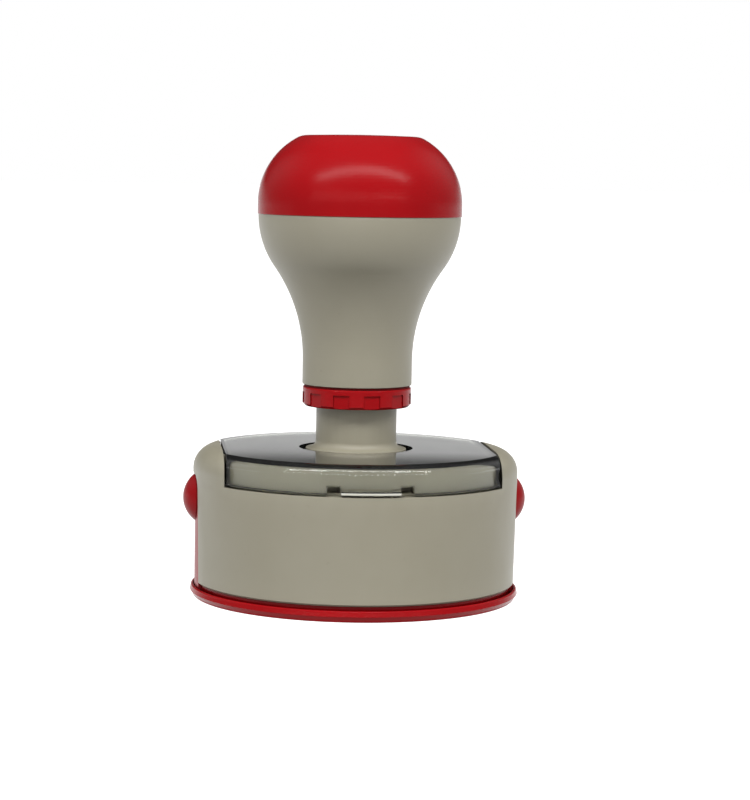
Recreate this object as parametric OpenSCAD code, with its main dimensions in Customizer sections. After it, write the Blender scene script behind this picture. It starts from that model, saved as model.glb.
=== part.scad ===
// Round pre-inked hand stamp. A palm knob on a telescoping handle drives a round
// die out of the body. A clear cover lies over an index card on top of the body,
// and a dust cap with two side latches closes it below.
// Millimetres, +Z up, front along -Y, origin under the middle of the dust cap.

/* [Body shell] */
// outside diameter of the shell at its shoulder
body_d = 58.8; // [54:0.2:64]
// how much smaller the shell's radius is at its lower edge
body_draft = 0.35; // [0.1:0.05:0.5]
// height of the shell from its lower edge to the tops of its two ears
body_h = 24.45; // [23.6:0.05:27]
// wall thickness of the shell at its shoulder
shell_wall = 2; // [1.8:0.1:2.3]
// rounding of the shoulder over each ear
shoulder_r = 4.1; // [3.8:0.1:4.8]
// width of each ear, from the shell's side to the saddle between the ears
ear_w = 4.9; // [4.4:0.1:5.6]
// depth of the saddle below the tops of the ears
saddle_depth = 5.6; // [5.2:0.1:6]

/* [Window cover] */
// thickness of the clear cover's top
window_top_t = 0.85; // [0.7:0.05:1]
// thickness of its front and back walls
window_t = 1.5; // [1.2:0.1:1.6]
// thickness of its side walls
window_side_t = 0.6; // [0.5:0.1:1]
// rounding of its upper edge
window_round = 2; // [1.4:0.1:2.1]
// how far its front and back walls lean in
window_lean = 0.5; // [0.2:0.1:0.8]
// width of the snap tongue in the front and back walls
tongue_w = 10.3; // [8:0.1:12]
// width of the slot at each side of a tongue
tongue_slot_w = 2.35; // [1.5:0.05:3]
// height of those slots
tongue_slot_h = 1.35; // [1:0.05:1.8]

/* [Neck] */
// outside diameter of the fixed neck
neck_d = 14.6; // [14:0.1:16]
// wall thickness of the neck
neck_wall = 1.7; // [1.4:0.1:1.9]
// radius of the flare at the neck's foot
flare_r = 1.4; // [1.2:0.1:1.8]
// diameter of the plunger rod
rod_d = 6; // [5:0.2:6.4]

/* [Handle] */
// wall thickness of the handle's straight lower end
grip_wall = 2.55; // [2.3:0.05:3]
// length of that straight end
grip_h = 4.45; // [2:0.05:6]
// largest diameter of the handle, at the seam under the knob cap
knob_d = 36.5; // [34:0.5:40]
// height over which the handle swells from the grip to the seam
swell_h = 26; // [24:0.5:30]
// radius of the outward curve below the seam
knob_arc_r = 16.2; // [14:0.2:19]
// wall thickness of the handle's swell
handle_wall = 2.2; // [1.8:0.1:2.4]

/* [Knob cap] */
// height of the knob cap above the seam
cap_h = 14.4; // [12:0.2:17]
// diameter of the nearly flat top
cap_flat_d = 21.4; // [18:0.2:24]
// rise of that top at its middle
cap_crown = 0.25; // [0.1:0.05:0.5]
// wall thickness of the knob cap
cap_t = 1.8; // [1.5:0.1:2.2]
// how far the knob cap stands out past the handle at the seam
cap_lip = 0.15; // [0.05:0.05:0.3]
// rounding of the knob cap's lower edge
seam_round = 0.15; // [0.05:0.05:0.2]

/* [Adjusting ring] */
// wall thickness of the ring
ring_wall = 1.225; // [1:0.025:1.4]
// height of the ring
ring_h = 3.5; // [3.2:0.1:5]
// chamfer of its lower edge
ring_chamfer = 0.45; // [0.2:0.05:0.6]
// number of finger recesses round the ring
ring_recesses = 11; // [8:1:12]
// width of a finger recess
recess_w = 3; // [2.4:0.1:3.6]
// height of a finger recess
recess_h = 2.5; // [1.8:0.1:2.8]
// depth of a finger recess
recess_depth = 0.3; // [0.15:0.05:0.4]
// turn of the recesses round the ring, in degrees
recess_phase = 19; // [0:0.5:36]
// how far a full turn of the ring screws it down
ring_travel = 1.5; // [1:0.1:2]

/* [Stroke and die] */
// travel of the handle
stroke = 4.5; // [3.5:0.1:5]
// distance from the shell's inner wall to the edge of the die
die_inset = 7.4; // [6.4:0.1:9]
// thickness of the die
die_t = 1.6; // [1.4:0.1:2]
// thickness of the ink pad behind the die
pad_t = 3.9; // [3:0.1:4.2]
// how far the pressed die reaches below the shell's lower edge
die_reach = 0.4; // [0.2:0.05:0.6]

/* [Side latches] */
// width of a latch arm
latch_w = 11; // [9.6:0.1:12]
// thickness of a latch arm
latch_t = 1.4; // [1.2:0.1:1.6]
// rounding of the upper corners of a latch arm
latch_corner_r = 2.5; // [1.5:0.1:3.5]
// height of the finger dome's middle above the shell's lower edge
dome_rise = 15.1; // [14:0.1:15.6]
// diameter of the finger dome
dome_d = 8.6; // [7:0.1:9]
// how far the finger dome stands out of its arm
dome_h = 2.2; // [1.8:0.1:2.6]

/* [Dust cap] */
// how far the dust cap's rim stands out past the shell's shoulder
rim_over = 0.4; // [0.3:0.05:0.9]
// height of the rim
rim_h = 2.05; // [1.9:0.05:2.4]
// how much smaller its radius is at the bottom than at its lip
rim_taper = 0.5; // [0.2:0.05:0.8]
// height at which its side is widest
rim_belly_h = 1.1; // [0.9:0.05:1.3]
// rounding of its lower edge
rim_round = 0.4; // [0.2:0.05:0.6]
// thickness of its lip
rim_lip = 0.6; // [0.4:0.05:0.65]
// thickness of the floor
floor_t = 1.2; // [1:0.1:1.4]
// height of the step that the shell stands on
seat_h = 2.75; // [2.4:0.05:3.2]

/* [Spring and screws] */
// wire diameter of the return spring
wire_d = 0.9; // [0.6:0.05:1]
// number of turns of the return spring
spring_turns = 13; // [10:1:15]
// shank diameter of the frame screws
frame_screw_d = 2; // [1.6:0.1:2.2]
// shank diameter of the screw under the knob cap
handle_screw_d = 3; // [2.5:0.1:3.2]
// shank diameter of the screw under the carriage
carriage_screw_d = 2.4; // [2:0.1:2.6]

/* [Hidden] */
$fn = 128;
arc_n = 24;
fit = 0.05;
gap = 0.3;
over = 1;
edge_round = 0.3;
grip_round = 0.15;

body_r = body_d / 2;
low_r = body_r - body_draft;
shell_in_r = body_r - shell_wall;
shell_z = seat_h;
ear_z = shell_z + body_h;
saddle_z = ear_z - saddle_depth;
saddle_w = body_d - 2 * ear_w;
shoulder_z = ear_z - shoulder_r;

window_drop = 0.2;
window_inset = 0.15;
window_side_gap = 0.4;
ear_rib_w = 1;
ear_rib_y = 10.5;
ear_rib_drop = 0.3;
window_slit = 0.4;
seat_pad_w = 23.2;
tongue_lip = 0.25;
tongue_lip_t = 0.1;
tongue_lip_h = 0.75;
pocket_depth = 4;
window_top_z = ear_z - window_drop;
window_under_z = window_top_z - window_top_t;
window_r = body_r - window_inset;
window_rim_r = window_r - window_lean;
window_half_w = saddle_w / 2 - window_side_gap;
window_wall_z = saddle_z + window_slit;
tongue_slot_x = (tongue_w + tongue_slot_w) / 2;
tongue_slot_top_z = window_wall_z + tongue_slot_h;

card_t = 0.2;
card_inset = 0.6;
deck_t = 2.2;
frame_t = 2;
frame_gap = 0.1;
platform_wall = 5.9;
deck_z = window_under_z - card_t - gap;
frame_z = saddle_z - frame_t;
frame_r = shell_in_r - frame_gap;
platform_half_w = window_half_w - window_side_t - gap;
cavity_r = frame_r - platform_wall;

foot_edge = 0.4;
foot_round = 0.15;
neck_chamfer = 0.5;
hub_wall = 3.4;
neck_r = neck_d / 2;
neck_bore_r = neck_r - neck_wall;
foot_r = neck_r + flare_r + foot_edge;
foot_top_z = window_top_z + flare_r;
rod_r = rod_d / 2;
hub_r = rod_r + hub_wall;

spigot_wall = 1.2;
spigot_rise = 0.8;
tube_wall = 1.75;
ring_gap = 0.25;
washer_t = 0.4;
washer_inset = 0.35;
hole_gap = 0.4;
guide_r = neck_r + fit;
tube_r = guide_r + tube_wall;
spigot_r = guide_r + spigot_wall;
ring_in_r = spigot_r + fit;
ring_r = ring_in_r + ring_wall;
grip_r = guide_r + grip_wall;
ring_z = foot_top_z + stroke + ring_travel + ring_gap;
ring_top_z = ring_z + ring_h;
grip_z = ring_top_z + washer_t;
spigot_z = ring_z + spigot_rise;
swell_z = grip_z + grip_h;
seam_z = swell_z + swell_h;
top_z = seam_z + cap_h;
window_hole_r = max(ring_r, grip_r) + hole_gap;

knob_r = knob_d / 2;
arc_sum = ((knob_r - grip_r) ^ 2 + swell_h ^ 2) / (2 * (knob_r - grip_r));
waist_arc_r = arc_sum - knob_arc_r;
blend_a = asin(swell_h / arc_sum);
waist_c = [grip_r + waist_arc_r, swell_z];
knob_c = [knob_r - knob_arc_r, seam_z];

web_drop = 7;
web_t = 3.5;
socket_depth = 2;
neck_end_gap = 0.8;
mouth_depth = 3.2;
rib_t = 1.2;
web_z = seam_z - web_drop;
web_top_z = web_z + web_t;
neck_top_z = web_z - stroke - neck_end_gap;
mouth_r = knob_r - handle_wall;

cap_side_h = 2;
cap_round_a = 3;
cap_round_w = 0.8;
cap_round_rise = 0.06;
cap_plug_t = 1.6;
cap_plug_gap = 0.2;
cap_plug_chamfer = 0.4;
cap_r = knob_r + cap_lip;
cap_rise = cap_h - cap_side_h - cap_crown;
cap_flat_r = cap_flat_d / 2;
cap_arc_r = ((cap_r - cap_flat_r) ^ 2 + cap_rise ^ 2) / (2 * (cap_r - cap_flat_r));
cap_c = [cap_r - cap_arc_r, seam_z + cap_side_h];
cap_arc_a = asin(cap_rise / cap_arc_r);

plate_t = 3;
socket_sink = 0.6;
die_edge = 0.7;
die_border = 0.8;
die_track = 1.9;
die_relief = 0.25;
retainer_t = 1.7;
retainer_gap = 0.25;
retainer_rise = 0.4;
retainer_lip_t = 0.55;
retainer_lip_gap = 0.1;
carriage_edge = 0.9;
groove_depth = 1;
face_z = shell_z - die_reach + stroke;
die_r = shell_in_r - die_inset;
die_top_z = face_z + die_t;
plate_z = die_top_z + pad_t;
plate_top_z = plate_z + plate_t;
hub_top_z = frame_z - fit;
socket_z = plate_top_z - socket_sink;
rod_top_z = web_z + socket_depth;
retainer_in_r = die_r + retainer_gap;
retainer_r = retainer_in_r + retainer_t;
retainer_lip_z = face_z + retainer_rise;
carriage_r = retainer_r + carriage_edge;

post_r = 1.9;
post_sink = 0.1;
post_rise = 4.6;
post_angles = [45, 135, 225, 315];
post_c = shell_in_r - post_r + post_sink;
post_z = shell_z + post_rise;

arm_inset = 0.05;
slot_gap = 0.25;
hinge_w = 8;
hinge_in = 1;
hinge_rise = 0.3;
dome_sink = 0.7;
dome_flat = 0.16;
arm_r = low_r - arm_inset;
hinge_r = latch_t / 2;
hinge_x = arm_r - hinge_in;
hinge_z = floor_t + hinge_rise;
dome_z = shell_z + dome_rise;
dome_r = dome_d / 2;
dome_ball_r = (dome_r ^ 2 + dome_h ^ 2) / (2 * dome_h);
arm_top_z = dome_z + dome_r;
slot_half_w = latch_w / 2 + slot_gap;

step_in = 0.55;
plug_gap = 0.2;
plug_t = 1.2;
plug_h = 1.6;
plug_chamfer = 0.4;
lip_round = 0.3;
lip_lean = 0.15;
gate_gap = 0.2;
rim_r = body_r + rim_over;
lip_in_r = rim_r - rim_lip;
step_r = low_r - step_in;
plug_r = shell_in_r - plug_gap;
plug_in_r = plug_r - plug_t;
plug_z = seat_h + plug_h;
gate_half_w = slot_half_w + gate_gap;
gate_r = arm_r + gate_gap / 2;

head_k = 1.7;
head_h = 1.2;
head_gap = 0.2;
head_side_h = 0.48;
head_flat = 0.5;
cross_len = 1.2;
cross_w = 0.24;
cross_depth = 0.65;
bore_end_gap = 0.5;
frame_screw_grip = 3.6;
frame_screw_r = frame_screw_d / 2;
frame_screw_len = frame_z - post_z + frame_screw_grip;
handle_screw_r = handle_screw_d / 2;
handle_screw_len = 10;
handle_washer_t = 0.5;
handle_washer_edge = 0.9;
handle_washer_r = head_k * handle_screw_r + handle_washer_edge;
carriage_screw_r = carriage_screw_d / 2;
carriage_screw_len = 7;
carriage_head_sink = 0.2;
carriage_bore_z = plate_z + head_h + carriage_head_sink;

seat_t = 0.5;
end_gap = 0.5;
coil_n = 8;
coil_sides = 6;
spring_z = deck_z + seat_t;
coil_r = (neck_bore_r + rod_r) / 2;
end_pitch = wire_d + end_gap;

red = [0.72, 0.08, 0.11];
grey = [0.62, 0.61, 0.55];
steel = [0.75, 0.76, 0.78];
dark = [0.10, 0.10, 0.11];

// points of a circular arc, from angle a0 to a1
function arc(c, r, a0, a1, n = arc_n) =
  [for (i = [0 : n]) let (a = a0 + (a1 - a0) * i / n) c + r * [cos(a), sin(a)]];

// points of a curve from p0 to p2 that leans towards p1
function bend(p0, p1, p2, n = 6) =
  [for (i = [0 : n]) let (t = i / n) (1 - t) ^ 2 * p0 + 2 * t * (1 - t) * p1 + t ^ 2 * p2];

// the handle's swelling side, moved inwards by a wall thickness
function swell(wall, a0 = 0) = concat(
  arc(waist_c, waist_arc_r + wall, 180 - a0, 180 - blend_a),
  arc(knob_c, knob_arc_r - wall, -blend_a, 0)
);

// height of the spring wire's middle after t turns
function coil_z(t) =
  let (z0 = spring_z + wire_d / 2, z1 = web_z - wire_d / 2)
  let (mid = (z1 - z0 - 2 * end_pitch) / (spring_turns - 2))
  t < 1 ? z0 + t * end_pitch
  : t < spring_turns - 1 ? z0 + end_pitch + (t - 1) * mid
  : z1 - (spring_turns - t) * end_pitch;

module tube(r_out, r_in, z0, z1) {
  difference() {
    translate([0, 0, z0]) cylinder(r = r_out, h = z1 - z0);
    translate([0, 0, z0 - over]) cylinder(r = r_in, h = z1 - z0 + 2 * over);
  }
}

module disc(r, z0, z1) {
  translate([0, 0, z0]) cylinder(r = r, h = z1 - z0);
}

// a disc cut off square at both sides
module flat_sided_disc(r, half_w, z0, z1) {
  intersection() {
    disc(r, z0, z1);
    translate([-half_w, -r - over, z0 - over]) cube([2 * half_w, 2 * (r + over), z1 - z0 + 2 * over]);
  }
}

module at_posts() {
  for (a = post_angles) rotate(a) translate([post_c, 0, 0]) children();
}

// a pan head screw that points down, its head standing on z = 0
module pan_screw(shank_r, len) {
  head_r = head_k * shank_r;
  difference() {
    union() {
      translate([0, 0, -len]) cylinder(r = shank_r, h = len + over / 2);
      rotate_extrude() polygon(concat(
        [[0, 0], [head_r, 0]],
        bend([head_r, head_side_h], [head_r, head_h], [head_flat * head_r, head_h]),
        [[0, head_h]]
      ));
    }
    for (a = [0, 90]) rotate(a) translate([0, 0, head_h])
      cube([cross_len * head_r, cross_w * head_r, 2 * cross_depth], center = true);
  }
}

module knob_cap() {
  rim = cap_c + cap_arc_r * [cos(cap_arc_a), sin(cap_arc_a)];
  round_a = cap_arc_a - cap_round_a;
  inner_r = cap_arc_r - cap_t;
  inner_a = asin((cap_rise - cap_t) / inner_r);
  plug_out = mouth_r - fit;
  plug_in = plug_out - cap_plug_t;
  plug_low_z = seam_z - mouth_depth + cap_plug_gap;
  color(red) rotate_extrude() polygon(concat(
    arc([cap_r - seam_round, seam_z + seam_round], seam_round, -90, 0, 4),
    arc(cap_c, cap_arc_r, 0, round_a),
    bend(
      cap_c + cap_arc_r * [cos(round_a), sin(round_a)],
      rim,
      rim + [-cap_round_w, cap_round_rise]
    ),
    bend([cap_flat_r / 2, top_z - cap_crown / 4], [cap_flat_r / 4, top_z], [0, top_z]),
    [[0, cap_c[1] + inner_r * sin(inner_a)]],
    arc(cap_c, inner_r, inner_a, 0),
    [[cap_r - cap_t, seam_z + over], [plug_in, seam_z + over], [plug_in, plug_low_z]],
    [[plug_out - cap_plug_chamfer, plug_low_z], [plug_out, plug_low_z + cap_plug_chamfer]],
    [[plug_out, seam_z]]
  ));
}

module handle_grip() {
  cavity_a = acos((waist_c[0] - tube_r) / (waist_arc_r + handle_wall));
  color(grey) difference() {
    rotate_extrude() polygon(concat(
      [[0, spigot_z], [spigot_r - edge_round, spigot_z], [spigot_r, spigot_z + edge_round]],
      [[spigot_r, grip_z]],
      arc([grip_r - grip_round, grip_z + grip_round], grip_round, -90, 0, 6),
      swell(0),
      [[0, seam_z]]
    ));
    difference() {
      rotate_extrude() polygon(concat(
        swell(handle_wall, cavity_a),
        [[mouth_r, seam_z + over], [tube_r, seam_z + over]]
      ));
      for (a = [0, 90]) rotate(a)
        translate([-knob_r, -rib_t / 2, 0]) cube([knob_d, rib_t, web_top_z]);
    }
    disc(mouth_r, seam_z - mouth_depth, seam_z + over);
    disc(tube_r + over, web_top_z, seam_z);
    disc(guide_r, spigot_z - over, web_z);
    disc(rod_r + fit, web_z - over, rod_top_z);
    disc(handle_screw_r + fit, web_z, seam_z);
  }
}

module handle_screw() {
  color(steel) translate([0, 0, web_top_z + handle_washer_t])
    pan_screw(handle_screw_r, handle_screw_len);
}

module handle_washer() {
  color(steel) tube(handle_washer_r, handle_screw_r + fit, web_top_z, web_top_z + handle_washer_t);
}

module adjusting_ring() {
  color(red) difference() {
    rotate_extrude() polygon(concat(
      [[ring_in_r, ring_z], [ring_r - ring_chamfer, ring_z], [ring_r, ring_z + ring_chamfer]],
      arc([ring_r - edge_round, ring_top_z - edge_round], edge_round, 0, 90, 6),
      [[ring_in_r, ring_top_z]]
    ));
    for (i = [0 : ring_recesses - 1]) rotate(360 * i / ring_recesses + recess_phase)
      translate([ring_r - recess_depth, -recess_w / 2, ring_z - over])
        cube([over, recess_w, recess_h + over]);
  }
}

module ring_washer() {
  color(dark) tube(grip_r - washer_inset, ring_in_r, ring_top_z, grip_z);
}

module plunger_rod() {
  color(grey) difference() {
    disc(rod_r, socket_z, rod_top_z);
    disc(handle_screw_r + fit, rod_top_z - handle_screw_len, rod_top_z + over);
    disc(carriage_screw_r + fit, socket_z - over, socket_z + carriage_screw_len);
  }
}

module return_spring() {
  rings = spring_turns * coil_n;
  mid = [
    for (k = [0 : rings])
      let (a = 360 * k / coil_n) [coil_r * cos(a), coil_r * sin(a), coil_z(k / coil_n)]
  ];
  reach = coil_n - 2;
  spans = [for (k = [0 : rings - reach], m = [k + reach : rings]) norm(mid[k] - mid[m])];
  echo(spring_least_gap = min(spans) - wire_d);
  points = [
    for (k = [0 : rings], j = [0 : coil_sides - 1])
      let (a = 360 * k / coil_n, b = 360 * j / coil_sides, r = coil_r + wire_d / 2 * cos(b))
        [r * cos(a), r * sin(a), mid[k][2] + wire_d / 2 * sin(b)]
  ];
  sides = [
    for (k = [0 : rings - 1], j = [0 : coil_sides - 1])
      let (p = k * coil_sides, q = p + coil_sides, n = (j + 1) % coil_sides)
        each [[p + j, p + n, q + n], [p + j, q + n, q + j]]
  ];
  first = [for (j = [coil_sides - 1 : -1 : 0]) j];
  last = [for (j = [0 : coil_sides - 1]) rings * coil_sides + j];
  color(steel) polyhedron(points, concat(sides, [first], [last]));
}

module spring_seat() {
  color(steel) tube(neck_bore_r - gap, rod_r + gap, deck_z, deck_z + seat_t);
}

module neck_frame() {
  pocket_y = frame_r - pocket_depth;
  color(grey) difference() {
    union() {
      flat_sided_disc(frame_r, window_half_w, frame_z, saddle_z);
      flat_sided_disc(frame_r, platform_half_w, frame_z, deck_z);
      rotate_extrude() polygon(concat(
        [[0, deck_z - over], [foot_r, deck_z - over], [foot_r, window_top_z - foot_round]],
        arc([foot_r - foot_round, window_top_z - foot_round], foot_round, 0, 90, 4),
        arc([neck_r + flare_r, foot_top_z], flare_r, 270, 180, 12),
        [[neck_r, neck_top_z - neck_chamfer], [neck_r - neck_chamfer, neck_top_z], [0, neck_top_z]]
      ));
    }
    tube(cavity_r, hub_r, frame_z - over, deck_z - deck_t);
    disc(neck_bore_r, deck_z, neck_top_z + over);
    disc(rod_r + fit, frame_z - over, deck_z + over);
    at_posts() disc(frame_screw_r + fit, frame_z - over, frame_z + frame_screw_grip + bore_end_gap);
    for (s = [-1, 1], side = [0, 1]) mirror([0, side, 0])
      translate([s * tongue_slot_x - tongue_slot_w / 2, pocket_y, window_wall_z])
        cube([tongue_slot_w, body_r, tongue_slot_h]);
  }
}

module frame_screws() {
  color(steel) at_posts() translate([0, 0, post_z]) mirror([0, 0, 1])
    pan_screw(frame_screw_r, frame_screw_len);
}

module outer_shell() {
  ear_in_r = saddle_w / 2 - over;
  rib_in = window_side_gap - fit;
  rib_z = ear_z - shell_wall;
  color(grey) union() {
    difference() {
      union() {
        rotate_extrude() polygon(concat(
          [[shell_in_r, shell_z], [low_r - edge_round, shell_z], [low_r, shell_z + edge_round]],
          arc([body_r - shoulder_r, shoulder_z], shoulder_r, 0, 90),
          [[ear_in_r, ear_z], [ear_in_r, ear_z - shell_wall]],
          arc([body_r - shoulder_r, shoulder_z], shoulder_r - shell_wall, 90, 0, 12)
        ));
        at_posts() disc(post_r, post_z, frame_z);
      }
      translate([-saddle_w / 2, -body_d, saddle_z]) cube([saddle_w, 2 * body_d, body_h]);
      at_posts() disc(frame_screw_r + fit, post_z - over, frame_z + over);
      for (side = [0, 1]) mirror([side, 0, 0]) rotate([90, 0, 90])
        linear_extrude(body_d)
          arch(slot_half_w, shell_z - over, arm_top_z + slot_gap, latch_corner_r + slot_gap);
    }
    for (s = [-1, 1], t = [-1, 1])
      translate([s * saddle_w / 2 - rib_in, t * ear_rib_y - ear_rib_w / 2, rib_z])
        cube([2 * rib_in, ear_rib_w, window_top_z - ear_rib_drop - rib_z]);
  }
}

module index_card() {
  color(dark) difference() {
    flat_sided_disc(frame_r - card_inset, platform_half_w - gap, deck_z, deck_z + card_t);
    disc(foot_r + gap, deck_z - over, deck_z + card_t + over);
  }
}

module window_cover() {
  inner_half_w = window_half_w - window_side_t;
  inner_r = window_r - window_t;
  lip_r = body_r + tongue_lip;
  color([0.82, 0.86, 0.84, 0.35]) difference() {
    union() {
      intersection() {
        rotate_extrude() polygon(concat(
          [[0, saddle_z], [window_r, saddle_z]],
          arc([window_rim_r - window_round, window_top_z - window_round], window_round, 0, 90, 24),
          [[0, window_top_z]]
        ));
        translate([-window_half_w, -body_r, saddle_z]) cube([2 * window_half_w, body_d, body_h]);
      }
      intersection() {
        rotate_extrude() polygon([
          [inner_r, window_wall_z],
          [lip_r, window_wall_z],
          [lip_r, window_wall_z + tongue_lip_t],
          [inner_r, window_wall_z + tongue_lip_h + window_t]
        ]);
        translate([-tongue_w / 2, -body_d, 0]) cube([tongue_w, 2 * body_d, ear_z]);
      }
    }
    flat_sided_disc(inner_r, inner_half_w, saddle_z - over, window_under_z);
    translate([-inner_half_w, -body_d, saddle_z - over])
      cube([2 * inner_half_w, 2 * body_d, window_slit + over]);
    for (side = [0, 1]) mirror([0, side, 0])
      translate([-body_r, seat_pad_w / 2, saddle_z - over])
        cube([body_d, body_d, window_slit + over]);
    disc(window_hole_r, saddle_z, ear_z);
    for (s = [-1, 1]) translate([s * tongue_slot_x - tongue_slot_w / 2, -body_d, saddle_z - over])
      cube([tongue_slot_w, 2 * body_d, tongue_slot_top_z - saddle_z + over]);
  }
}

module die_carriage() {
  color(grey) difference() {
    union() {
      disc(carriage_r, plate_z, plate_top_z);
      disc(hub_r, plate_z, hub_top_z);
    }
    tube(retainer_r + fit, retainer_in_r - fit, plate_z - over, plate_z + groove_depth);
    disc(rod_r + fit, socket_z, hub_top_z + over);
    disc(carriage_screw_r + fit, plate_z - over, socket_z + over);
    disc(head_k * carriage_screw_r + head_gap, plate_z - over, carriage_bore_z);
  }
}

module carriage_screw() {
  color(steel) translate([0, 0, carriage_bore_z]) mirror([0, 0, 1])
    pan_screw(carriage_screw_r, carriage_screw_len);
}

module ink_pad() {
  color(dark) disc(die_r, die_top_z, plate_z);
}

module stamp_die() {
  face_r = die_r - die_edge;
  track_r = face_r - die_border;
  ring_out_r = track_r - die_track;
  color([0.45, 0.12, 0.14]) difference() {
    union() {
      disc(face_r, face_z, die_top_z);
      disc(die_r, retainer_lip_z + retainer_lip_t, die_top_z);
    }
    tube(track_r, ring_out_r, face_z - over, face_z + die_relief);
    disc(ring_out_r - die_border, face_z - over, face_z + die_relief);
  }
}

module die_retainer() {
  color(grey) union() {
    tube(retainer_r, retainer_in_r, retainer_lip_z, plate_z + groove_depth - fit);
    tube(retainer_r, die_r - die_edge + retainer_lip_gap, retainer_lip_z, retainer_lip_z + retainer_lip_t);
  }
}

module dust_cap() {
  color(red) difference() {
    rotate_extrude() polygon(concat(
      [[0, 0]],
      arc([rim_r - rim_taper - rim_round, rim_round], rim_round, -90, 0, 8),
      [[rim_r, rim_belly_h]],
      arc([rim_r - lip_lean - lip_round, rim_h - lip_round], lip_round, 0, 90, 6),
      [[lip_in_r, rim_h], [lip_in_r, floor_t]],
      [[step_r, floor_t], [step_r, seat_h], [plug_r, seat_h]],
      [[plug_r, plug_z - plug_chamfer], [plug_r - plug_chamfer, plug_z]],
      [[plug_in_r, plug_z], [plug_in_r, floor_t], [0, floor_t]]
    ));
    for (side = [0, 1]) mirror([side, 0, 0]) {
      intersection() {
        disc(gate_r, floor_t, plug_z + over);
        translate([plug_in_r - over, -gate_half_w, 0]) cube([body_r, 2 * gate_half_w, plug_z + over]);
      }
      translate([hinge_x, 0, hinge_z]) rotate([90, 0, 0])
        cylinder(r = hinge_r + fit, h = hinge_w + 2 * gate_gap, center = true);
    }
  }
}

// a flat opening with rounded upper corners
module arch(half_w, z0, z1, r) {
  translate([-half_w, z0]) square([2 * half_w, z1 - r - z0]);
  translate([r - half_w, z0]) square([2 * (half_w - r), z1 - z0]);
  for (s = [-1, 1]) translate([s * (half_w - r), z1 - r]) circle(r);
}

// the latch on the right, with its hinge barrel in the dust cap's floor
module latch() {
  base_a = asin((dome_ball_r - dome_h) / dome_ball_r);
  cut_z = dome_z - dome_r + dome_flat;
  color(red) {
    intersection() {
      tube(arm_r, arm_r - latch_t, hinge_z, arm_top_z);
      rotate([90, 0, 90]) linear_extrude(body_d) arch(latch_w / 2, hinge_z, arm_top_z, latch_corner_r);
    }
    translate([hinge_x, 0, hinge_z]) rotate([90, 0, 0])
      cylinder(r = hinge_r, h = hinge_w, center = true);
    difference() {
      translate([arm_r, 0, dome_z]) rotate([0, 90, 0]) rotate_extrude() polygon(concat(
        [[0, -dome_sink], [dome_r, -dome_sink]],
        arc([0, dome_h - dome_ball_r], dome_ball_r, base_a, 90, 16)
      ));
      translate([arm_r - over, -dome_d, cut_z - dome_d]) cube([2 * dome_d, 2 * dome_d, dome_d]);
    }
  }
}

module latch_right() {
  latch();
}

module latch_left() {
  mirror([1, 0, 0]) latch();
}

knob_cap();
handle_grip();
handle_screw();
handle_washer();
adjusting_ring();
ring_washer();
plunger_rod();
return_spring();
spring_seat();
neck_frame();
frame_screws();
outer_shell();
index_card();
window_cover();
die_carriage();
carriage_screw();
ink_pad();
stamp_die();
die_retainer();
dust_cap();
latch_left();
latch_right();
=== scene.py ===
"""Looks of a round pre-inked hand stamp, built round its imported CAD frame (metres, +Z up)."""
import math

import bmesh
import bpy
from mathutils import Matrix, Vector


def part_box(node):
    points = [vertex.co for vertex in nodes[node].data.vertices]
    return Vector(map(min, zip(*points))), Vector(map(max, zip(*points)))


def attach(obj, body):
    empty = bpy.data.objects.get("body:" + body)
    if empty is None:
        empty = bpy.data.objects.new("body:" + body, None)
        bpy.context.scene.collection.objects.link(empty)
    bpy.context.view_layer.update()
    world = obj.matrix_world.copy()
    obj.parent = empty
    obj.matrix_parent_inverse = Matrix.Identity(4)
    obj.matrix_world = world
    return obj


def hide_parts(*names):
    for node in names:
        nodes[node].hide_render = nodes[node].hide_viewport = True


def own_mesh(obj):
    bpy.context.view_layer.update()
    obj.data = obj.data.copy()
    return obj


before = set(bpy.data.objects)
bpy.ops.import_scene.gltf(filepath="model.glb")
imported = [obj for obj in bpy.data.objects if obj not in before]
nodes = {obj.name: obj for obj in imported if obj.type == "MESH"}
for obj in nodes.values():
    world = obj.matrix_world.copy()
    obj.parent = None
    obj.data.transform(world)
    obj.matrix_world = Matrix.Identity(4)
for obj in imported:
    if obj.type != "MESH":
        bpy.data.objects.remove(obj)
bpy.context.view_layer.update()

MM = 0.001
GRAIN = 5200.0
MIX_FIRST, MIX_SECOND, MIX_RESULT = 6, 7, 2

# Camera, read from the photograph: its place round the object, its aim, its roll and its lens.
CAM_DISTANCE = 0.4506
CAM_AZIMUTH = math.radians(-5.52)
CAM_HEIGHT = 0.0777
CAM_AIM = (0.00331, -0.00032, 0.03566)
CAM_ROLL = 0.018
FOCAL_PX = 2496.5
FRAME_HEIGHT_PX = 800
SENSOR = 36.0
CLIP_START = 0.01

# Clear cover: where its cut edges (painted black for the shade in the gaps round them) and its nail lips
# (painted pale as a highlight) lie, its tones, and how fast it darkens per metre.
HOLE_R = 10.3 * MM
COVER_HALF_W = 24.1 * MM
COVER_EDGE_Z = 22.0 * MM
COVER_LIP_R = 29.40 * MM
EDGE_BAND = 0.03 * MM
CLEAR_TONE = (0.93, 0.94, 0.91)
LIP_HIGHLIGHT_TONE = (0.56, 0.56, 0.49)
EDGE_SHADE_BLACK = (0.004, 0.004, 0.004)
LIP_GLASS = 0.15
CLEAR_TINT = (0.42, 0.44, 0.36, 1.0)
CLEAR_DENSITY = 60.0

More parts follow.
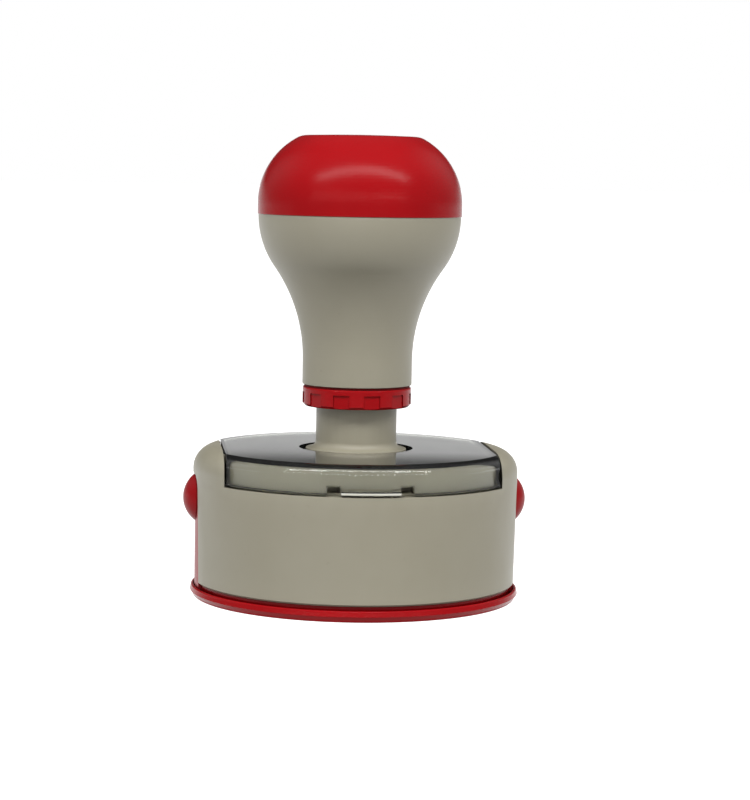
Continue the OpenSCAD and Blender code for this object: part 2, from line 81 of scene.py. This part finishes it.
# Photo tent: (elevation in degrees, brightness) of its wall, the glow of its floor, and its lamps.
# A rise is (low, high, brightness at low, brightness at high) of the height of a direction.
TENT_BANDS = (
    (0.0, 1.0), (3.9, 1.0), (4.6, 0.62), (6.45, 0.60), (6.62, 0.50), (6.74, 0.10),
    (7.6, 0.04), (32.0, 0.08), (55.0, 0.3), (90.0, 0.6),
)
TENT_SIDE = (0.45, 0.75)
TENT_FRONT = (-0.15, 0.25)
SIDE_RISE = (0.15, 0.60, 0.40, 1.0)
FRONT_RISE = (0.5, 0.85, 0.54, 0.8)
FLOOR_HALF = 12.0
FLOOR_Z = -24.0 * MM
FLOOR_TONES = ((0.40, 0.40, 0.40), (0.38, 0.38, 0.38))
FLOOR_WHITE = (1.0, 1.0, 1.0, 1.0)
FLOOR_GLOW = 1.0
FLOOR_FRONT_GLOW = 0.08
FLOOR_FADE = (-0.30, -0.14)
LIGHT_AIM = (0.0, 0.0, 0.045)
FRONT_PLACE = (-0.02, -0.46, 0.70)
FRONT_SIZE = (1.60, 0.16)
FRONT_POWER = 8.8
LAMP_COUNT = 27
LAMP_SWEEP = math.radians(104.0)
LAMP_R = 0.60
LAMP_Z = 0.208
LAMP_SIZE = (10.0 * MM, 1.0 * MM, 130.0 * MM)
LAMP_GLOW = 9.0
LAMP_TONE = (1.0, 0.97, 0.90, 1.0)

# Painted shade in joints and corners: how far a facing wall counts, the open share from full to none, and
# its strength.
PAINTED_SHADE_REACH = 1.4 * MM
FRAME_PAINTED_SHADE_REACH = 0.3 * MM
PAINTED_SHADE_FADE = (0.25, 0.75)
PAINTED_SHADE_DEPTH = 0.9
PAINTED_SHADE_TONE = 0.06
PAINTED_SHADE_SAMPLES = 6

# Wear of the moulded plastic: strength of specks, scuffs and rubbed edges, and the tone that soil keeps.
SPECK_DEPTH = 0.10
SCUFF_DEPTH = 0.14
RUB_DEPTH = 0.22
SOIL_TONE = 0.55
RUB_GAIN, RUB_LIFT = 1.35, 0.03
EDGE_POINTINESS = (0.52, 0.60)

# Hidden pieces that are made here: the coil, the soft edges, and the die's heights and line widths.
SPRING_WIRE_R = 0.45 * MM
SPRING_TURNS = 13
SPRING_STEPS = 40
SPRING_END_RISE = 1.4 * MM
PAD_EDGE = 0.6 * MM
PAD_PORES = 2600.0
DIE_EDGE = 0.08 * MM
DIE_RELIEF = 0.25 * MM
DIE_FLANGE = 0.95 * MM
DIE_LEDGE = 0.7 * MM
DIE_LINE = 0.8 * MM
DIE_INNER_LINE = (4.2 * MM, 3.4 * MM)
DIE_PORES = 5200.0

# Colours, linear, with the roughness range and the sheen of the moulded ones.
RED = (0.345, 0.0027, 0.0052)
RED_DEEP = (0.30, 0.0024, 0.0046)
# The latches: the same red plastic, painted darker as the shade on their domes.
LATCH_SHADE_RED = (0.295, 0.0028, 0.0052)
LATCH_SHADE_RED_DEEP = (0.27, 0.0025, 0.005)
GREY = (0.304, 0.284, 0.216)
GREY_WARM = (0.284, 0.263, 0.195)
RED_ROUGH, RED_SHEEN = (0.19, 0.28), 0.10
LATCH_ROUGH = (0.28, 0.40)
GREY_ROUGH, GREY_SHEEN = (0.34, 0.48), 0.40
INK_RED = (0.20, 0.008, 0.014)
INK_WET = (0.13, 0.004, 0.008)
DIE_RED = (0.27, 0.012, 0.02)
PORE_TONE = 0.25
STEEL_LIGHT = (0.62, 0.63, 0.65)
STEEL_DARK = (0.46, 0.47, 0.50)
CARD_BLACK = (0.006, 0.006, 0.007)
CARD_FIBRE = (0.016, 0.016, 0.017)
# The washer's reds are painted dark as the shade in its gap under the ring; the lighter one is where the
# ring polished it.
WASHER_SHADE_RED = (0.10, 0.003, 0.004)
WASHER_SHADE_WORN = (0.16, 0.004, 0.005)

# Which CAD nodes share a material.
RED_PARTS = ("knob_cap", "adjusting_ring", "dust_cap")
LATCH_PARTS = ("latch_left", "latch_right")
GREY_PARTS = ("handle_grip", "plunger_rod", "outer_shell", "die_carriage", "die_retainer")
STEEL_PARTS = ("handle_screw", "handle_washer", "spring_seat", "frame_screws", "carriage_screw")


class Nodes:
    """A node tree with short helpers to wire it."""

    def __init__(self, tree, space):
        self.tree = tree
        self.coords = tree.nodes.new("ShaderNodeTexCoord").outputs[space]

    def node(self, kind, **values):
        made = self.tree.nodes.new(kind)
        for key, value in values.items():
            setattr(made, key, value)
        return made

    def link(self, source, target):
        self.tree.links.new(source, target)

    def stretched(self, scale):
        """The coordinates scaled on each axis, to draw a texture out along an axis with a small scale."""
        made = self.node("ShaderNodeMapping")
        made.inputs["Scale"].default_value = scale
        self.link(self.coords, made.inputs["Vector"])
        return made.outputs["Vector"]

    def noise(self, scale, detail=3.0, rough=0.55, vector=None):
        """Cloudy noise from 0 to 1; the scale is per metre."""
        made = self.node("ShaderNodeTexNoise")
        made.inputs["Scale"].default_value = scale
        made.inputs["Detail"].default_value = detail
        made.inputs["Roughness"].default_value = rough
        self.link(vector or self.coords, made.inputs["Vector"])
        return made.outputs["Fac"]

    def cells(self, scale):
        """The distance to the nearest of scattered points."""
        made = self.node("ShaderNodeTexVoronoi", feature="F1")
        made.inputs["Scale"].default_value = scale
        self.link(self.coords, made.inputs["Vector"])
        return made.outputs["Distance"]

    def ramp(self, source, low, high, out_low=0.0, out_high=1.0):
        """The source from low to high, spread from out_low to out_high and held beyond."""
        made = self.node("ShaderNodeMapRange", clamp=True)
        made.inputs["From Min"].default_value = low
        made.inputs["From Max"].default_value = high
        made.inputs["To Min"].default_value = out_low
        made.inputs["To Max"].default_value = out_high
        self.link(source, made.inputs["Value"])
        return made.outputs["Result"]

    def mix(self, factor, first, second):
        """The first colour, turning into the second as the factor goes from 0 to 1."""
        made = self.node("ShaderNodeMix", data_type="RGBA", blend_type="MIX")
        self.put(factor, made.inputs["Factor"])
        self.put(first, made.inputs[MIX_FIRST])
        self.put(second, made.inputs[MIX_SECOND])
        return made.outputs[MIX_RESULT]

    def math(self, operation, first, second=0.0):
        made = self.node("ShaderNodeMath", operation=operation)
        self.put(first, made.inputs[0])
        self.put(second, made.inputs[1])
        return made.outputs[0]

    def put(self, value, socket):
        """Links an output to a socket, or sets a number or a colour on it."""
        if hasattr(value, "is_output"):
            self.link(value, socket)
        elif isinstance(value, tuple):
            socket.default_value = (*value, 1.0)
        else:
            socket.default_value = value

    def axes(self):
        made = self.node("ShaderNodeSeparateXYZ")
        self.link(self.coords, made.inputs["Vector"])
        return made.outputs["X"], made.outputs["Y"], made.outputs["Z"]

    def radius(self):
        """The distance from the Z axis."""
        x, y, _ = self.axes()
        squares = self.math("ADD", self.math("MULTIPLY", x, x), self.math("MULTIPLY", y, y))
        return self.math("SQRT", squares)


class Shader(Nodes):
    """A node material with a Principled shader."""

    def __init__(self, name, **values):
        self.mat = bpy.data.materials.new(name)
        self.mat.use_nodes = True
        super().__init__(self.mat.node_tree, "Object")
        self.bsdf = self.tree.nodes["Principled BSDF"]
        for socket, value in values.items():
            self.bsdf.inputs[socket.replace("_", " ")].default_value = value

    def edges(self):
        """1 on sharp outer edges."""
        geometry = self.node("ShaderNodeNewGeometry")
        return self.ramp(geometry.outputs["Pointiness"], *EDGE_POINTINESS)

    def crevice_shade(self, reach):
        """1 in joints and corners where a wall faces the surface within reach, to paint shade there."""
        made = self.node("ShaderNodeAmbientOcclusion", samples=PAINTED_SHADE_SAMPLES)
        made.inputs["Distance"].default_value = reach
        return self.ramp(made.outputs["AO"], *PAINTED_SHADE_FADE, 1.0, 0.0)

    def bump(self, height, distance, strength, under=None):
        made = self.node("ShaderNodeBump")
        made.inputs["Strength"].default_value = strength
        made.inputs["Distance"].default_value = distance
        self.link(height, made.inputs["Height"])
        if under is not None:
            self.link(under, made.inputs["Normal"])
        return made.outputs["Normal"]

    def colour(self, source):
        self.link(source, self.bsdf.inputs["Base Color"])

    def roughness(self, source):
        self.link(source, self.bsdf.inputs["Roughness"])

    def normal(self, source):
        self.link(source, self.bsdf.inputs["Normal"])


def satin_plastic(name, light, deep, rough, sheen, reach=PAINTED_SHADE_REACH):
    """Moulded plastic: fine spark grain, cloudy colour, thumb smears, rubbed edges, and painted shade in
    joints and corners.
    """
    look = Shader(name, IOR=1.5, Specular_IOR_Level=sheen)
    cloud = look.ramp(look.noise(38.0, 4.0, 0.6), 0.35, 0.68)
    body = look.mix(cloud, light, deep)
    specks = look.ramp(look.noise(900.0, 2.0, 0.5), 0.70, 0.78)
    scuffs = look.ramp(look.noise(150.0, 3.0, 0.6, look.stretched((0.35, 0.35, 1.0))), 0.68, 0.76)
    specks = look.math("MULTIPLY", specks, SPECK_DEPTH)
    soil = look.math("MAXIMUM", specks, look.math("MULTIPLY", scuffs, SCUFF_DEPTH))
    body = look.mix(soil, body, tuple(SOIL_TONE * c for c in deep))
    # Painted shade: joints and corners are darkened towards a deep tone.
    painted_shade = look.math("MULTIPLY", look.crevice_shade(reach), PAINTED_SHADE_DEPTH)
    body = look.mix(painted_shade, body, tuple(PAINTED_SHADE_TONE * c for c in deep))
    rubbed = look.math("MULTIPLY", look.edges(), RUB_DEPTH)
    look.colour(look.mix(rubbed, body, tuple(min(1.0, RUB_GAIN * c + RUB_LIFT) for c in light)))
    smear = look.noise(70.0, 5.0, 0.62, look.stretched((1.0, 1.0, 0.45)))
    look.roughness(look.ramp(smear, 0.30, 0.72, *rough))
    fine = look.bump(look.noise(GRAIN, 2.0, 0.5), 0.012 * MM, 0.55)
    look.normal(look.bump(look.noise(420.0, 3.0, 0.5), 0.02 * MM, 0.25, under=fine))
    return look.mat


def clear_plastic(name):
    """Polished clear cover with faint haze, hairline scratches, cut edges painted black as shade, and lips
    painted pale as a highlight.
    """
    look = Shader(name, IOR=1.49)
    x, _, z = look.axes()
    # Painted shade: the hole wall, the side faces and the bottom face are painted black, for the shade in
    # the gaps round them.
    hole = look.ramp(look.radius(), HOLE_R + EDGE_BAND, HOLE_R + 2 * EDGE_BAND)
    side_band = (COVER_HALF_W - EDGE_BAND, COVER_HALF_W - EDGE_BAND / 2)
    side = look.ramp(look.math("ABSOLUTE", x), *side_band, 1.0, 0.0)
    under = look.ramp(z, COVER_EDGE_Z + EDGE_BAND / 2, COVER_EDGE_Z + EDGE_BAND)
    clear = look.math("MULTIPLY", hole, look.math("MULTIPLY", side, under))
    # Painted highlight: the nail lips are painted pale and nearly opaque.
    lip_highlight = look.ramp(look.radius(), COVER_LIP_R, COVER_LIP_R + EDGE_BAND)
    tone = look.mix(lip_highlight, CLEAR_TONE, LIP_HIGHLIGHT_TONE)
    look.colour(look.mix(clear, EDGE_SHADE_BLACK, tone))
    glassy = look.ramp(lip_highlight, 0.0, 1.0, 1.0, LIP_GLASS)
    look.link(look.math("MULTIPLY", clear, glassy), look.bsdf.inputs["Transmission Weight"])
    hairs = look.ramp(look.noise(900.0, 2.0, 0.5, look.stretched((1.0, 0.06, 1.0))), 0.66, 0.74)
    haze = look.ramp(look.noise(55.0, 4.0, 0.6), 0.40, 0.75, 0.008, 0.03)
    look.roughness(look.math("ADD", haze, look.math("MULTIPLY", hairs, 0.03)))
    look.normal(look.bump(look.noise(160.0, 2.0, 0.5), 0.002 * MM, 0.1))
    depth = look.node("ShaderNodeVolumeAbsorption")
    depth.inputs["Color"].default_value = CLEAR_TINT
    depth.inputs["Density"].default_value = CLEAR_DENSITY
    look.link(depth.outputs["Volume"], look.tree.nodes["Material Output"].inputs["Volume"])
    return look.mat


def plated_steel(name):
    """Zinc plated steel with drawing lines and a mottled sheen."""
    look = Shader(name, Metallic=1.0)
    mottle = look.ramp(look.noise(600.0, 4.0, 0.6), 0.35, 0.70)
    look.colour(look.mix(mottle, STEEL_LIGHT, STEEL_DARK))
    lines = look.noise(2600.0, 2.0, 0.5, look.stretched((1.0, 1.0, 0.08)))
    look.roughness(look.ramp(lines, 0.3, 0.7, 0.22, 0.42))
    look.normal(look.bump(lines, 0.006 * MM, 0.4))
    return look.mat


def black_card(name):
    """Matt black index card with paper fibres."""
    look = Shader(name, IOR=1.45)
    fibres = look.noise(1400.0, 5.0, 0.65, look.stretched((1.0, 0.25, 1.0)))
    look.colour(look.mix(look.ramp(fibres, 0.35, 0.75), CARD_BLACK, CARD_FIBRE))
    look.roughness(look.ramp(fibres, 0.3, 0.7, 0.62, 0.82))
    look.normal(look.bump(fibres, 0.02 * MM, 0.5))
    return look.mat


def washer_plastic(name):
    """Friction washer in red painted dark as the shade in its gap under the ring, slightly polished by the
    ring.
    """
    look = Shader(name, IOR=1.5, Specular_IOR_Level=0.1)
    wear = look.noise(700.0, 4.0, 0.6)
    look.colour(look.mix(look.ramp(wear, 0.4, 0.7), WASHER_SHADE_RED, WASHER_SHADE_WORN))
    look.roughness(look.ramp(wear, 0.3, 0.7, 0.60, 0.80))
    look.normal(look.bump(wear, 0.01 * MM, 0.4))
    return look.mat


def inked_foam(name, base, wet, pore_scale):
    """Microporous foam, soaked with ink."""
    look = Shader(name, IOR=1.4)
    pores = look.ramp(look.cells(pore_scale), 0.10, 0.50)
    soak = look.ramp(look.noise(120.0, 4.0, 0.6), 0.35, 0.7)
    body = look.mix(soak, base, wet)
    holes = look.ramp(pores, 0.0, 0.5, 0.75, 0.0)
    look.colour(look.mix(holes, body, tuple(PORE_TONE * c for c in wet)))
    look.roughness(look.ramp(soak, 0.0, 1.0, 0.62, 0.34))
    look.normal(look.bump(pores, 0.06 * MM, 0.8))
    return look.mat


def give(name, material):
    """Puts one material on a CAD node."""
    mesh = nodes[name].data
    mesh.materials.clear()
    mesh.materials.append(material)


def piece(name, mesh_data, material, body, replaced):
    """Adds a finished mesh to the scene as a piece that rides on a body and replaces a CAD node."""
    obj = bpy.data.objects.new(name, mesh_data)
    bpy.context.scene.collection.objects.link(obj)
    mesh_data.materials.append(material)
    mesh_data.shade_smooth()
    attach(obj, body)
    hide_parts(replaced)
    return obj


def finished_mesh(name, bm):
    """Turns a bmesh into mesh data, and frees it."""
    made = bpy.data.meshes.new(name)
    bm.to_mesh(made)
    bm.free()
    return made


def circle(count):
    """Angles of evenly spaced points round a circle."""
    return [2.0 * math.pi * k / count for k in range(count)]


def lathe(name, outline, steps=160):
    """A closed solid of revolution from (radius, height) points, axis points first and last."""
    bm = bmesh.new()
    ends = [bm.verts.new((0.0, 0.0, outline[i][1])) for i in (0, -1)]
    rings = []
    for r, z in outline[1:-1]:
        rings.append([bm.verts.new((r * math.cos(a), r * math.sin(a), z)) for a in circle(steps)])
    for k in range(steps):
        n = (k + 1) % steps
        bm.faces.new((ends[0], rings[0][n], rings[0][k]))
        for low, high in zip(rings, rings[1:]):
            bm.faces.new((low[k], low[n], high[n], high[k]))
        bm.faces.new((ends[1], rings[-1][k], rings[-1][n]))
    bmesh.ops.recalc_face_normals(bm, faces=bm.faces)
    return finished_mesh(name, bm)


def rounded_corner(corner, before, after, radius, steps=5):
    """Points of a small rounding at a corner of an outline."""
    corner, before, after = (Vector(p) for p in (corner, before, after))
    start = corner + (before - corner).normalized() * radius
    end = corner + (after - corner).normalized() * radius
    points = []
    for i in range(steps + 1):
        t = i / steps
        points.append(tuple((1 - t) ** 2 * start + 2 * t * (1 - t) * corner + t * t * end))
    return points


def rounded_outline(points, radius):
    """An outline with each inner corner rounded."""
    made = [points[0]]
    for before, corner, after in zip(points, points[1:], points[2:]):
        made += rounded_corner(corner, before, after, radius)
    return made + [points[-1]]


def tube_along(name, path, radius, sides=12):
    """A round wire along a path of points, closed at both ends."""
    bm = bmesh.new()
    rings = []
    for i, point in enumerate(path):
        ahead = Vector(path[min(i + 1, len(path) - 1)]) - Vector(path[max(i - 1, 0)])
        ahead.normalize()
        out = Vector((point[0], point[1], 0.0)).normalized()
        side = ahead.cross(out).normalized()
        out = side.cross(ahead)
        spokes = [math.cos(a) * out + math.sin(a) * side for a in circle(sides)]
        rings.append([bm.verts.new(Vector(point) + radius * spoke) for spoke in spokes])
    for low, high in zip(rings, rings[1:]):
        for k in range(sides):
            n = (k + 1) % sides
            bm.faces.new((low[k], low[n], high[n], high[k]))
    bm.faces.new(rings[0])
    bm.faces.new(rings[-1])
    bmesh.ops.recalc_face_normals(bm, faces=bm.faces)
    return finished_mesh(name, bm)


def make_spring(material):
    """The return spring as a smooth coil with closed ends, carried by the shell."""
    low, high = (Vector(v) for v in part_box("return_spring"))
    coil = high.x - SPRING_WIRE_R
    start, end = low.z + SPRING_WIRE_R, high.z - SPRING_WIRE_R
    pitch = (end - start - 2 * SPRING_END_RISE) / (SPRING_TURNS - 2)
    path = []
    for i in range(SPRING_TURNS * SPRING_STEPS + 1):
        turn = i / SPRING_STEPS
        if turn < 1:
            z = start + turn * SPRING_END_RISE
        elif turn < SPRING_TURNS - 1:
            z = start + SPRING_END_RISE + (turn - 1) * pitch
        else:
            z = end - (SPRING_TURNS - turn) * SPRING_END_RISE
        angle = 2.0 * math.pi * turn
        path.append((coil * math.cos(angle), coil * math.sin(angle), z))
    wire = tube_along("spring_coil", path, SPRING_WIRE_R)
    spring = piece("spring_coil", wire, material, "body_shell", "return_spring")
    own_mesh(spring)


def make_ink_pad(material):
    """The foam pad, with soft edges."""
    low, high = (Vector(v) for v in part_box("ink_pad"))
    r = high.x
    outline = rounded_outline([(0, low.z), (r, low.z), (r, high.z), (0, high.z)], PAD_EDGE)
    piece("ink_pad_foam", lathe("ink_pad_foam", outline), material, "plunger", "ink_pad")


def make_die(material):
    """The stamping face: a raised double border round a bare field."""
    low, high = (Vector(v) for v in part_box("stamp_die"))
    r = high.x
    face, field, flange = low.z, low.z + DIE_RELIEF, low.z + DIE_FLANGE
    inner_low, inner_high = (r - inset for inset in DIE_INNER_LINE)
    border = r - DIE_LEDGE
    border_low = border - DIE_LINE
    outline = [
        (0, field), (inner_low, field), (inner_low, face), (inner_high, face), (inner_high, field),
        (border_low, field), (border_low, face), (border, face), (border, flange), (r, flange),
        (r, high.z), (0, high.z),
    ]
    relief = lathe("stamp_face", rounded_outline(outline, DIE_EDGE))
    piece("stamp_face", relief, material, "plunger", "stamp_die")


def stage_mesh(name, bm, material):
    """Puts a finished mesh on the stage, outside the object."""
    made = finished_mesh(name, bm)
    made.materials.append(material)
    obj = bpy.data.objects.new(name, made)
    bpy.context.scene.collection.objects.link(obj)
    return obj


def make_floor():
    """A pale sheet, lit from below as in a photo tent, low enough for the dust cap to drop off."""
    bm = bmesh.new()
    level = Matrix.Translation((0.0, 0.0, FLOOR_Z))
    bmesh.ops.create_grid(bm, x_segments=1, y_segments=1, size=FLOOR_HALF, matrix=level)
    look = Shader("floor_sheet", IOR=1.45, Specular_IOR_Level=0.1)
    tone = look.ramp(look.noise(14.0, 3.0, 0.5), 0.3, 0.7)
    look.colour(look.mix(tone, *FLOOR_TONES))
    look.roughness(look.ramp(tone, 0.0, 1.0, 0.85, 0.95))
    look.bsdf.inputs["Emission Color"].default_value = FLOOR_WHITE
    glow = look.ramp(look.axes()[1], *FLOOR_FADE, FLOOR_FRONT_GLOW, FLOOR_GLOW)
    look.link(glow, look.bsdf.inputs["Emission Strength"])
    stage_mesh("floor", bm, look.mat).visible_diffuse = False


def make_tent():
    """The tent: a white band at the horizon, white sides, and a dim roof that is open at the front."""
    world = bpy.data.worlds.new("tent")
    bpy.context.scene.world = world
    world.use_nodes = True
    wall = Nodes(world.node_tree, "Generated")
    x, y, z = wall.axes()
    bands = wall.node("ShaderNodeValToRGB")
    wall.link(z, bands.inputs["Fac"])
    stops = bands.color_ramp.elements
    while len(stops) < len(TENT_BANDS):
        stops.new(1.0)
    for stop, (elevation, level) in zip(stops, TENT_BANDS):
        stop.position = max(0.0, math.sin(math.radians(elevation)))
        stop.color = (level, level, level, 1.0)
    side = wall.ramp(wall.math("ABSOLUTE", x), *TENT_SIDE)
    back = wall.mix(side, bands.outputs["Color"], wall.ramp(z, *SIDE_RISE))
    front = wall.ramp(z, *FRONT_RISE)
    shade = wall.mix(wall.ramp(y, *TENT_FRONT), front, back)
    wall.link(shade, wall.tree.nodes["Background"].inputs["Color"])
    wall.tree.nodes["Background"].inputs["Strength"].default_value = 1.0


def area_light(name, place, aim, size, power):
    """A soft rectangular lamp at a place, turned to a point."""
    data = bpy.data.lights.new(name, "AREA")
    data.shape = "RECTANGLE"
    data.size, data.size_y = size
    data.energy = power
    lamp = bpy.data.objects.new(name, data)
    lamp.location = place
    lamp.rotation_euler = (Vector(aim) - Vector(place)).to_track_quat("-Z", "Y").to_euler()
    bpy.context.scene.collection.objects.link(lamp)


def make_lamps():
    """The soft panel in front, and a row of narrow lamps under it."""
    area_light("front_panel", FRONT_PLACE, LIGHT_AIM, FRONT_SIZE, FRONT_POWER)
    look = Shader("lamp_glow")
    glow = look.ramp(look.noise(30.0), 0.2, 0.8, 0.9, 1.1)
    look.link(look.math("MULTIPLY", glow, LAMP_GLOW), look.bsdf.inputs["Emission Strength"])
    look.bsdf.inputs["Emission Color"].default_value = LAMP_TONE
    bm = bmesh.new()
    for i in range(LAMP_COUNT):
        turn = LAMP_SWEEP * (i / (LAMP_COUNT - 1) - 0.5) + CAM_AZIMUTH
        spot = Matrix.Translation((LAMP_R * math.sin(turn), -LAMP_R * math.cos(turn), LAMP_Z))
        place = spot @ Matrix.Rotation(turn, 4, "Z") @ Matrix.Diagonal((*LAMP_SIZE, 1.0))
        bmesh.ops.create_cube(bm, size=1.0, matrix=place)
    stage_mesh("lamp_row", bm, look.mat).visible_diffuse = False


def make_camera():
    """The camera, at the photograph's viewing angle."""
    data = bpy.data.cameras.new("camera")
    data.sensor_width = SENSOR
    data.lens = FOCAL_PX * SENSOR / FRAME_HEIGHT_PX
    data.clip_start = CLIP_START
    camera = bpy.data.objects.new("camera", data)
    east, north = CAM_DISTANCE * math.sin(CAM_AZIMUTH), -CAM_DISTANCE * math.cos(CAM_AZIMUTH)
    place = Vector((east, north, CAM_HEIGHT))
    turn = (Vector(CAM_AIM) - place).to_track_quat("-Z", "Y").to_matrix().to_4x4()
    camera.matrix_world = Matrix.Translation(place) @ turn @ Matrix.Rotation(CAM_ROLL, 4, "Z")
    bpy.context.scene.collection.objects.link(camera)
    bpy.context.scene.camera = camera


def dress():
    """Puts a material on each CAD node, and makes the hidden pieces that replace plain solids."""
    red = satin_plastic("red_satin", RED, RED_DEEP, RED_ROUGH, RED_SHEEN)
    # The latches get the darker copy of the red, as painted shade.
    latch_shade_red = satin_plastic("latch_red_satin", LATCH_SHADE_RED, LATCH_SHADE_RED_DEEP, LATCH_ROUGH, RED_SHEEN)
    grey = satin_plastic("grey_satin", GREY, GREY_WARM, GREY_ROUGH, GREY_SHEEN)
    frame_grey = satin_plastic("frame_satin", GREY, GREY_WARM, GREY_ROUGH, GREY_SHEEN, FRAME_PAINTED_SHADE_REACH)
    steel = plated_steel("zinc_steel")
    shared = ((RED_PARTS, red), (LATCH_PARTS, latch_shade_red), (GREY_PARTS, grey), (STEEL_PARTS, steel))
    for parts, material in shared:
        for part in parts:
            give(part, material)
    give("neck_frame", frame_grey)
    give("window_cover", clear_plastic("clear_cover"))
    give("index_card", black_card("black_card"))
    give("ring_washer", washer_plastic("friction_washer"))
    make_spring(steel)
    make_ink_pad(inked_foam("pad_foam", INK_RED, INK_WET, PAD_PORES))
    make_die(inked_foam("die_foam", DIE_RED, INK_RED, DIE_PORES))


make_camera()
make_tent()
make_lamps()
make_floor()
bpy.context.scene.view_settings.view_transform = "Standard"
dress()
